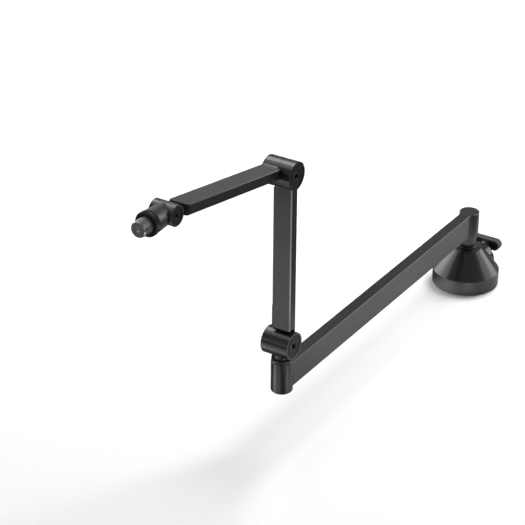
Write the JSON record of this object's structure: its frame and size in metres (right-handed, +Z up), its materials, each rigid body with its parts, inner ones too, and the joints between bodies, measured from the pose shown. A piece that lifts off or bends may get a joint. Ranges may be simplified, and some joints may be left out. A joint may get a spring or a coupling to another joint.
{
  "type": "microphone boom arm",
  "caption": "Low desk boom arm for a microphone: a round weighted base with a clamp screw, a swinging lower arm, a tilting upright and upper arm, and a tilting threaded stud.",
  "frame": {"origin": "centre of the base's underside, on the axis of the desk bolt's hole", "axes": "+Z up along the base's swivel axis, +X from the base to the elbow at rest, +Y to the side of the hinge bolts' heads"},
  "size_m": [0.7075, 0.08, 0.3584],
  "materials": {
    "rubber": "matte",
    "black_metal": "smooth black",
    "satin_black": "satin black anodised",
    "steel": "turned",
    "black_plastic": "matte",
    "brass": "turned",
    "nylon": "matte"
  },
  "bodies": {
    "base": {"base_pad": "rubber", "base_plate": "black_metal", "base_cover": "satin_black", "cover_screw_a": "steel", "cover_screw_b": "steel", "cover_screw_c": "steel", "base_bush_top": "black_plastic", "base_bush_low": "brass"},
    "clamp_tip": {"clamp_tip": "nylon"},
    "clamp_handle": {"clamp_screw": "steel", "clamp_bar": "black_plastic"},
    "lower_arm": {"lower_arm": "satin_black", "lower_strip": "satin_black", "base_spindle": "steel", "spindle_washer": "steel", "spindle_screw": "black_metal", "elbow_bush_top": "black_plastic", "elbow_bush_low": "brass", "elbow_plug": "black_plastic"},
    "elbow": {"elbow_head": "satin_black", "elbow_collar": "black_plastic", "elbow_washer": "steel", "elbow_screw": "black_metal"},
    "upright": {"upright": "satin_black", "upright_strip": "satin_black", "low_tilt_disc": "brass", "low_tilt_bolt": "black_metal", "low_tilt_spring": "steel", "low_tilt_nut": "steel", "low_tilt_cap": "satin_black"},
    "upper_arm": {"upper_arm": "satin_black", "upper_strip": "satin_black", "top_tilt_disc": "brass", "top_tilt_bolt": "black_metal", "top_tilt_spring": "steel", "top_tilt_nut": "steel", "top_tilt_cap": "satin_black", "mic_tilt_disc": "brass", "mic_tilt_bolt": "black_metal", "mic_tilt_spring": "steel", "mic_tilt_nut": "steel", "mic_tilt_cap": "satin_black"},
    "mic_mount": {"mic_body": "satin_black", "mic_stud": "steel"},
    "thrust_washer": {"thrust_washer": "nylon"},
    "lock_ring": {"lock_ring": "black_metal"}
  },
  "joints": [
    {"name": "base_yaw", "type": "hinge", "parent": "base", "child": "lower_arm", "pos_m": [0, 0, 0.08], "axis": [0, 0, 1], "continuous": true},
    {"name": "clamp_slide", "type": "slide", "parent": "base", "child": "clamp_tip", "axis": [-1, 0, 0], "range_m": [0, 0.00201]},
    {"name": "clamp_turn", "type": "hinge", "parent": "clamp_tip", "child": "clamp_handle", "pos_m": [-0.05, 0, 0.0295], "axis": [-1, 0, 0], "range_deg": [0, 720]},
    {"name": "elbow_yaw", "type": "hinge", "parent": "lower_arm", "child": "elbow", "pos_m": [0.42, 0, 0.1], "axis": [0, 0, 1], "continuous": true},
    {"name": "low_tilt", "type": "hinge", "parent": "elbow", "child": "upright", "pos_m": [0.42, 0, 0.1205], "axis": [0, 1, 0], "range_deg": [-75, 75]},
    {"name": "top_tilt", "type": "hinge", "parent": "upright", "child": "upper_arm", "pos_m": [0.42, 0, 0.312], "axis": [0, -1, 0], "range_deg": [-62, 110]},
    {"name": "mic_tilt", "type": "hinge", "parent": "upper_arm", "child": "mic_mount", "pos_m": [0.60753, 0, 0.34615], "axis": [0, -1, 0], "range_deg": [-80, 105]},
    {"name": "ring_slide", "type": "slide", "parent": "mic_mount", "child": "thrust_washer", "axis": [1, 0, 0], "range_m": [0, 0.00471]},
    {"name": "ring_turn", "type": "hinge", "parent": "thrust_washer", "child": "lock_ring", "pos_m": [0.63247, -0.0073, 0.34615], "axis": [1, 0, 0], "range_deg": [0, 1800]}
  ],
  "couplings": [
    {"joint": "clamp_slide", "follows": "clamp_turn", "m_per_rad": 0.00015915},
    {"joint": "ring_slide", "follows": "ring_turn", "m_per_rad": 0.00014972}
  ]
}
